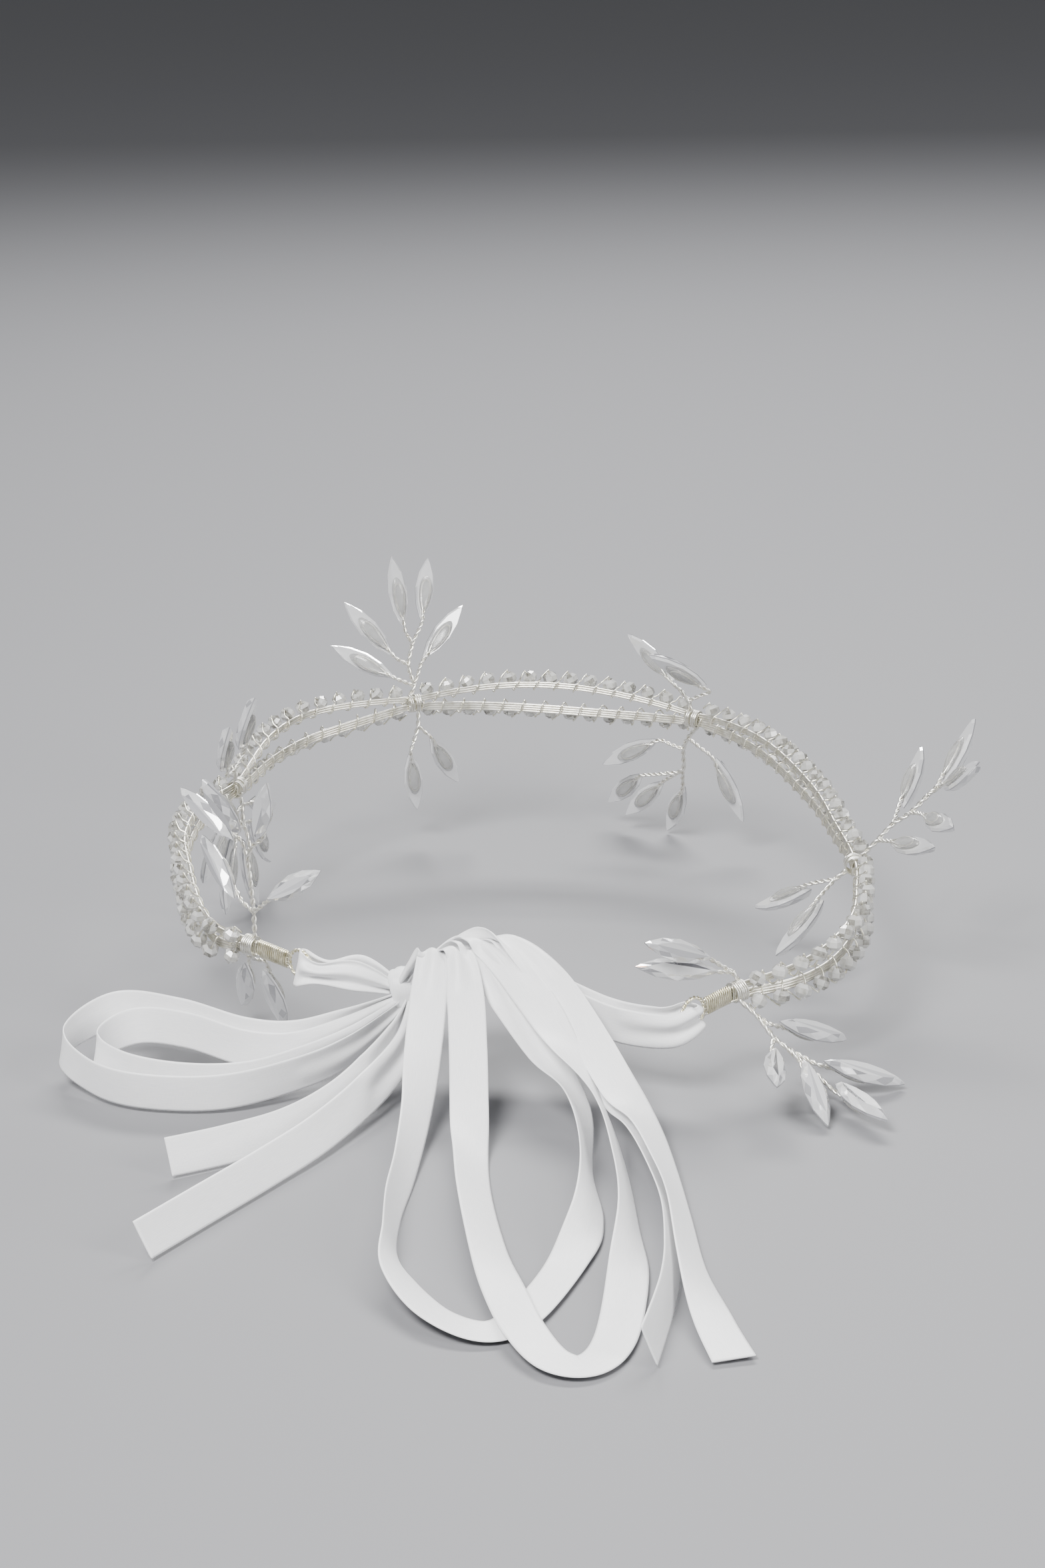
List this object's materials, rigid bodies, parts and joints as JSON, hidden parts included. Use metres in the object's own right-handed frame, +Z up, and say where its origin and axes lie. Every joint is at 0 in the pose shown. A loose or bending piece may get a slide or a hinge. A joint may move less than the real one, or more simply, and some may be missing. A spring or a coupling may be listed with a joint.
{
  "type": "hair crown",
  "caption": "Hair crown: an open band of two beaded wire strands with sprigs of clear leaf-shaped crystals on bendable wire stems, tied with a satin ribbon bow.",
  "frame": {"origin": "middle of the footprint of the crown without its ribbon, on the floor it stands on", "axes": "+Z up, -Y towards the open front of the band where the ribbon is tied, +X to the right seen from the front"},
  "size_m": [0.1664, 0.2475, 0.0612],
  "materials": {
    "silver_wire": "bright silver wire with a slight champagne tint",
    "crystal": "clear faceted crystal",
    "glue_pad": "clear cured glue, glossy",
    "glass_bead": "clear round seed bead",
    "white_satin": "plain white satin ribbon"
  },
  "bodies": {
    "band": {"upper_middle_wire": "silver_wire", "upper_side_wires": "silver_wire", "lower_middle_wire": "silver_wire", "lower_side_wires": "silver_wire", "upper_wrap_wire": "silver_wire", "lower_wrap_wire": "silver_wire", "upper_beads": "glass_bead", "lower_beads": "glass_bead", "left_ribbon_eye": "silver_wire", "right_ribbon_eye": "silver_wire", "ribbon_left_run": "white_satin", "ribbon_right_run": "white_satin", "bow_knot": "white_satin", "bow_left_loop_outer": "white_satin", "bow_left_loop_inner": "white_satin", "bow_front_loop_left": "white_satin", "bow_front_loop_right": "white_satin", "tail_left_short": "white_satin", "tail_left_long": "white_satin", "tail_right_outer": "white_satin", "tail_right_inner": "white_satin"},
    "sprig_1_top_branch": {"sprig_1_top_stem": "silver_wire", "sprig_1_top_crystals": "crystal", "sprig_1_top_pads": "glue_pad"},
    "sprig_1_low_branch": {"sprig_1_low_stem": "silver_wire", "sprig_1_low_crystals": "crystal", "sprig_1_low_pads": "glue_pad"},
    "sprig_2_top_branch": {"sprig_2_top_stem": "silver_wire", "sprig_2_top_crystals": "crystal", "sprig_2_top_pads": "glue_pad"},
    "sprig_2_low_branch": {"sprig_2_low_stem": "silver_wire", "sprig_2_low_crystals": "crystal", "sprig_2_low_pads": "glue_pad"},
    "sprig_3_top_branch": {"sprig_3_top_stem": "silver_wire", "sprig_3_top_crystals": "crystal", "sprig_3_top_pads": "glue_pad"},
    "sprig_3_low_branch": {"sprig_3_low_stem": "silver_wire", "sprig_3_low_crystals": "crystal", "sprig_3_low_pads": "glue_pad"},
    "sprig_4_top_branch": {"sprig_4_top_stem": "silver_wire", "sprig_4_top_crystals": "crystal", "sprig_4_top_pads": "glue_pad"},
    "sprig_4_low_branch": {"sprig_4_low_stem": "silver_wire", "sprig_4_low_crystals": "crystal", "sprig_4_low_pads": "glue_pad"},
    "sprig_5_top_branch": {"sprig_5_top_stem": "silver_wire", "sprig_5_top_crystals": "crystal", "sprig_5_top_pads": "glue_pad"},
    "sprig_5_low_branch": {"sprig_5_low_stem": "silver_wire", "sprig_5_low_crystals": "crystal", "sprig_5_low_pads": "glue_pad"},
    "sprig_6_top_branch": {"sprig_6_top_stem": "silver_wire", "sprig_6_top_crystals": "crystal", "sprig_6_top_pads": "glue_pad"},
    "sprig_6_low_branch": {"sprig_6_low_stem": "silver_wire", "sprig_6_low_crystals": "crystal", "sprig_6_low_pads": "glue_pad"}
  },
  "joints": [
    {"name": "sprig_1_top_turn", "type": "hinge", "parent": "band", "child": "sprig_1_top_branch", "pos_m": [-0.05746, -0.0343, 0.018], "axis": [0.7975, -0.5987, -0.0748], "range_deg": [-25, 25]},
    {"name": "sprig_1_low_turn", "type": "hinge", "parent": "band", "child": "sprig_1_low_branch", "pos_m": [-0.05746, -0.0343, 0.018], "axis": [-0.7975, 0.5987, 0.0748], "range_deg": [-25, 20]},
    {"name": "sprig_2_top_turn", "type": "hinge", "parent": "band", "child": "sprig_2_top_branch", "pos_m": [-0.06446, 0.0317, 0.02625], "axis": [-0.3775, -0.9188, -0.1149], "range_deg": [-25, 25]},
    {"name": "sprig_2_low_turn", "type": "hinge", "parent": "band", "child": "sprig_2_low_branch", "pos_m": [-0.06446, 0.0317, 0.02625], "axis": [0.3775, 0.9188, 0.1149], "range_deg": [-25, 25]},
    {"name": "sprig_3_top_turn", "type": "hinge", "parent": "band", "child": "sprig_3_top_branch", "pos_m": [-0.03046, 0.0697, 0.031], "axis": [-0.9703, -0.2401, -0.03], "range_deg": [-25, 25]},
    {"name": "sprig_3_low_turn", "type": "hinge", "parent": "band", "child": "sprig_3_low_branch", "pos_m": [-0.03046, 0.0697, 0.031], "axis": [0.9703, 0.2401, 0.03], "range_deg": [-25, 25]},
    {"name": "sprig_4_top_turn", "type": "hinge", "parent": "band", "child": "sprig_4_top_branch", "pos_m": [0.02654, 0.0567, 0.02937], "axis": [-0.7978, 0.5983, 0.0748], "range_deg": [-25, 25]},
    {"name": "sprig_4_low_turn", "type": "hinge", "parent": "band", "child": "sprig_4_low_branch", "pos_m": [0.02654, 0.0567, 0.02937], "axis": [0.7978, -0.5983, -0.0748], "range_deg": [-25, 25]},
    {"name": "sprig_5_top_turn", "type": "hinge", "parent": "band", "child": "sprig_5_top_branch", "pos_m": [0.05154, -0.0113, 0.02088], "axis": [-0.0368, 0.9916, 0.124], "range_deg": [-25, 25]},
    {"name": "sprig_5_low_turn", "type": "hinge", "parent": "band", "child": "sprig_5_low_branch", "pos_m": [0.05154, -0.0113, 0.02088], "axis": [0.0368, -0.9916, -0.124], "range_deg": [-25, 25]},
    {"name": "sprig_6_top_turn", "type": "hinge", "parent": "band", "child": "sprig_6_top_branch", "pos_m": [0.02654, -0.0573, 0.01512], "axis": [0.8483, 0.5255, 0.0657], "range_deg": [-25, 25]},
    {"name": "sprig_6_low_turn", "type": "hinge", "parent": "band", "child": "sprig_6_low_branch", "pos_m": [0.02654, -0.0573, 0.01512], "axis": [-0.8483, -0.5255, -0.0657], "range_deg": [-25, 25]}
  ]
}
